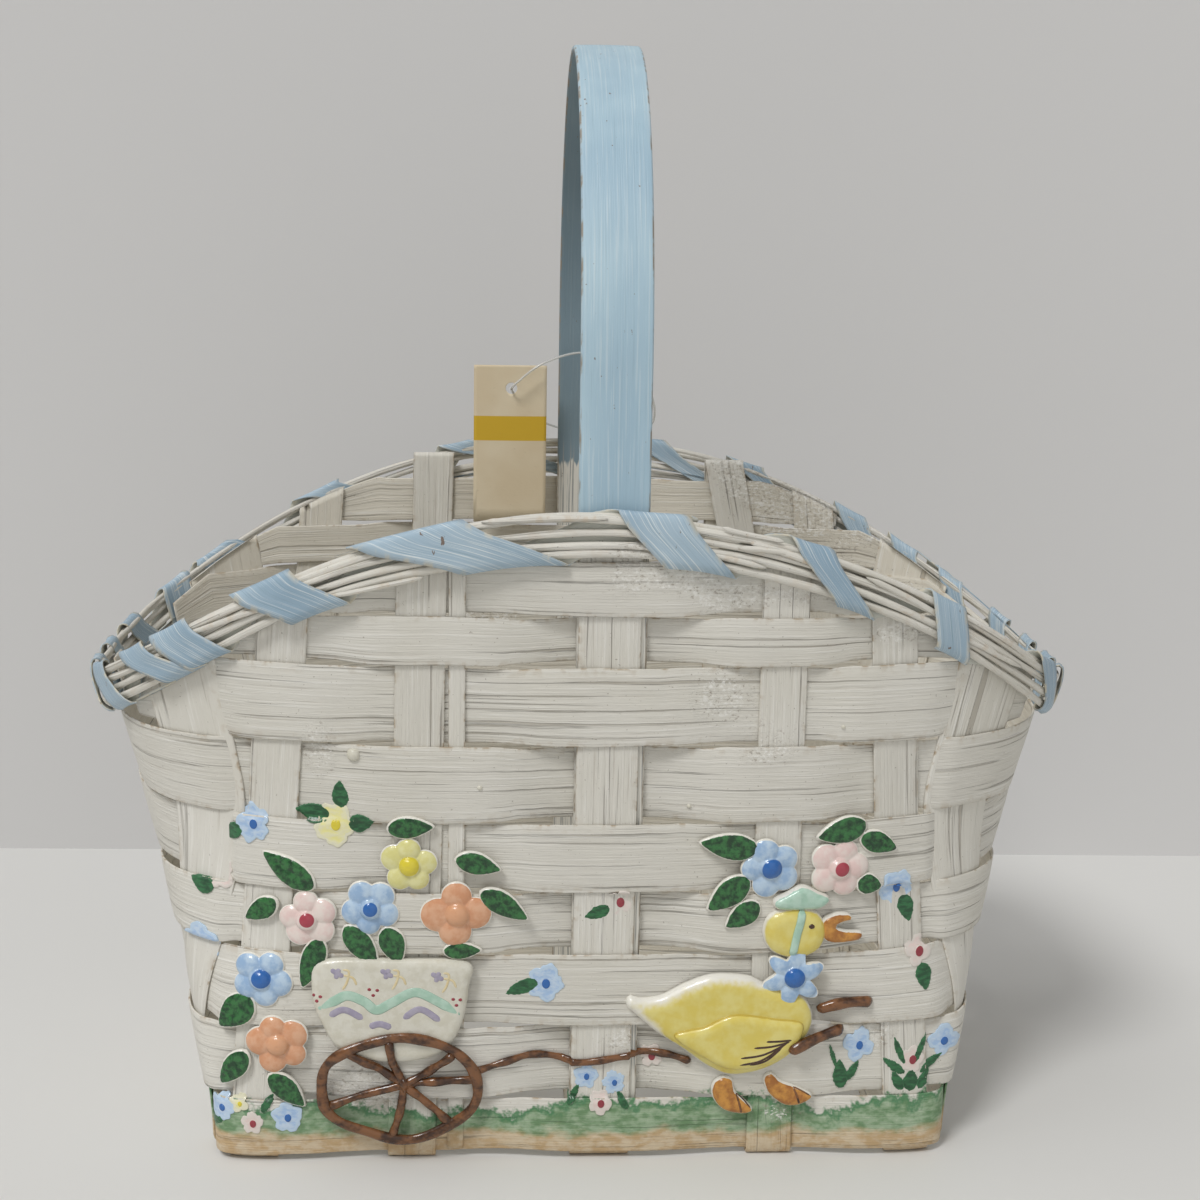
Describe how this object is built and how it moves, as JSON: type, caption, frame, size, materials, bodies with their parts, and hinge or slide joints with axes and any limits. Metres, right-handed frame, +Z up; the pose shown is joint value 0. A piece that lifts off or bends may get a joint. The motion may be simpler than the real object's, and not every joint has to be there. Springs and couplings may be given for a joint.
{
  "type": "easter basket",
  "caption": "Oval splint-woven basket with a curved reed rim, a tall bent-wood hoop handle, relief spring figures on its front and a hanging card tag.",
  "frame": {"origin": "on the ground under the middle of the basket", "axes": "+X along the basket's length, -Y towards the decorated front, +Z up"},
  "size_m": [0.3832, 0.2216, 0.415],
  "materials": {
    "whitewashed_splint": "brushed whitewash on ash splint, dry and slightly chalky",
    "whitewashed_reed": "thin whitewash on round reed",
    "blue_painted_wood": "thin light-blue paint, satin",
    "tag_card": "uncoated card with one printed yellow band",
    "clear_nylon": "clear moulded nylon",
    "leaf_green_enamel": "gloss hobby paint over moulded resin",
    "pink_enamel": "gloss hobby paint over moulded resin",
    "blue_enamel": "gloss hobby paint over moulded resin",
    "lemon_enamel": "gloss hobby paint over moulded resin",
    "peach_enamel": "gloss hobby paint over moulded resin",
    "duck_yellow_enamel": "gloss hobby paint over moulded resin",
    "orange_enamel": "gloss hobby paint over moulded resin",
    "teal_enamel": "gloss hobby paint over moulded resin",
    "white_enamel": "gloss hobby paint over moulded resin",
    "brown_enamel": "gloss hobby paint over moulded resin"
  },
  "bodies": {
    "basket": {"bonnet_flower_blue": "blue_enamel", "bonnet_flower_pink": "pink_enamel", "cart_pole": "brown_enamel", "cart_pot": "white_enamel", "cart_wheel": "brown_enamel", "cross_stake_centre": "whitewashed_splint", "cross_stake_far_left": "whitewashed_splint", "cross_stake_far_right": "whitewashed_splint", "cross_stake_left": "whitewashed_splint", "cross_stake_right": "whitewashed_splint", "duck_beak": "orange_enamel", "duck_body": "duck_yellow_enamel", "duck_bonnet": "teal_enamel", "duck_collar_flower": "blue_enamel", "duck_foot_left": "orange_enamel", "duck_foot_right": "orange_enamel", "duck_head": "duck_yellow_enamel", "duck_wing": "duck_yellow_enamel", "filler_stake": "whitewashed_splint", "flower_blue": "blue_enamel", "flower_blue_low": "blue_enamel", "flower_peach": "peach_enamel", "flower_peach_low": "peach_enamel", "flower_pink": "pink_enamel", "flower_yellow": "lemon_enamel", "handle_hoop": "blue_painted_wood", "leaf_1": "leaf_green_enamel", "leaf_10": "leaf_green_enamel", "leaf_2": "leaf_green_enamel", "leaf_3": "leaf_green_enamel", "leaf_4": "leaf_green_enamel", "leaf_5": "leaf_green_enamel", "leaf_6": "leaf_green_enamel", "leaf_7": "leaf_green_enamel", "leaf_8": "leaf_green_enamel", "leaf_9": "leaf_green_enamel", "long_stake_back": "whitewashed_splint", "long_stake_front": "whitewashed_splint", "long_stake_middle": "whitewashed_splint", "rim_lacing": "blue_painted_wood", "rim_reed_1": "whitewashed_reed", "rim_reed_2": "whitewashed_reed", "rim_reed_3": "whitewashed_reed", "rim_reed_4": "whitewashed_reed", "tag_loop": "clear_nylon", "twig_lower": "brown_enamel", "twig_upper": "brown_enamel", "weaver_row_1_back": "whitewashed_splint", "weaver_row_1_front": "whitewashed_splint", "weaver_row_2_back": "whitewashed_splint", "weaver_row_2_front": "whitewashed_splint", "weaver_row_3_back": "whitewashed_splint", "weaver_row_3_front": "whitewashed_splint", "weaver_row_4": "whitewashed_splint", "weaver_row_5": "whitewashed_splint", "weaver_row_6": "whitewashed_splint", "weaver_row_7": "whitewashed_splint", "weaver_row_8": "whitewashed_splint", "weaver_row_9": "whitewashed_splint"},
    "tag": {"tag_card": "tag_card"}
  },
  "joints": [
    {"name": "tag_swing", "type": "hinge", "parent": "basket", "child": "tag", "pos_m": [-0.0267, 0.088, 0.274], "axis": [1, 0, 0], "range_deg": [-60, 7]}
  ]
}
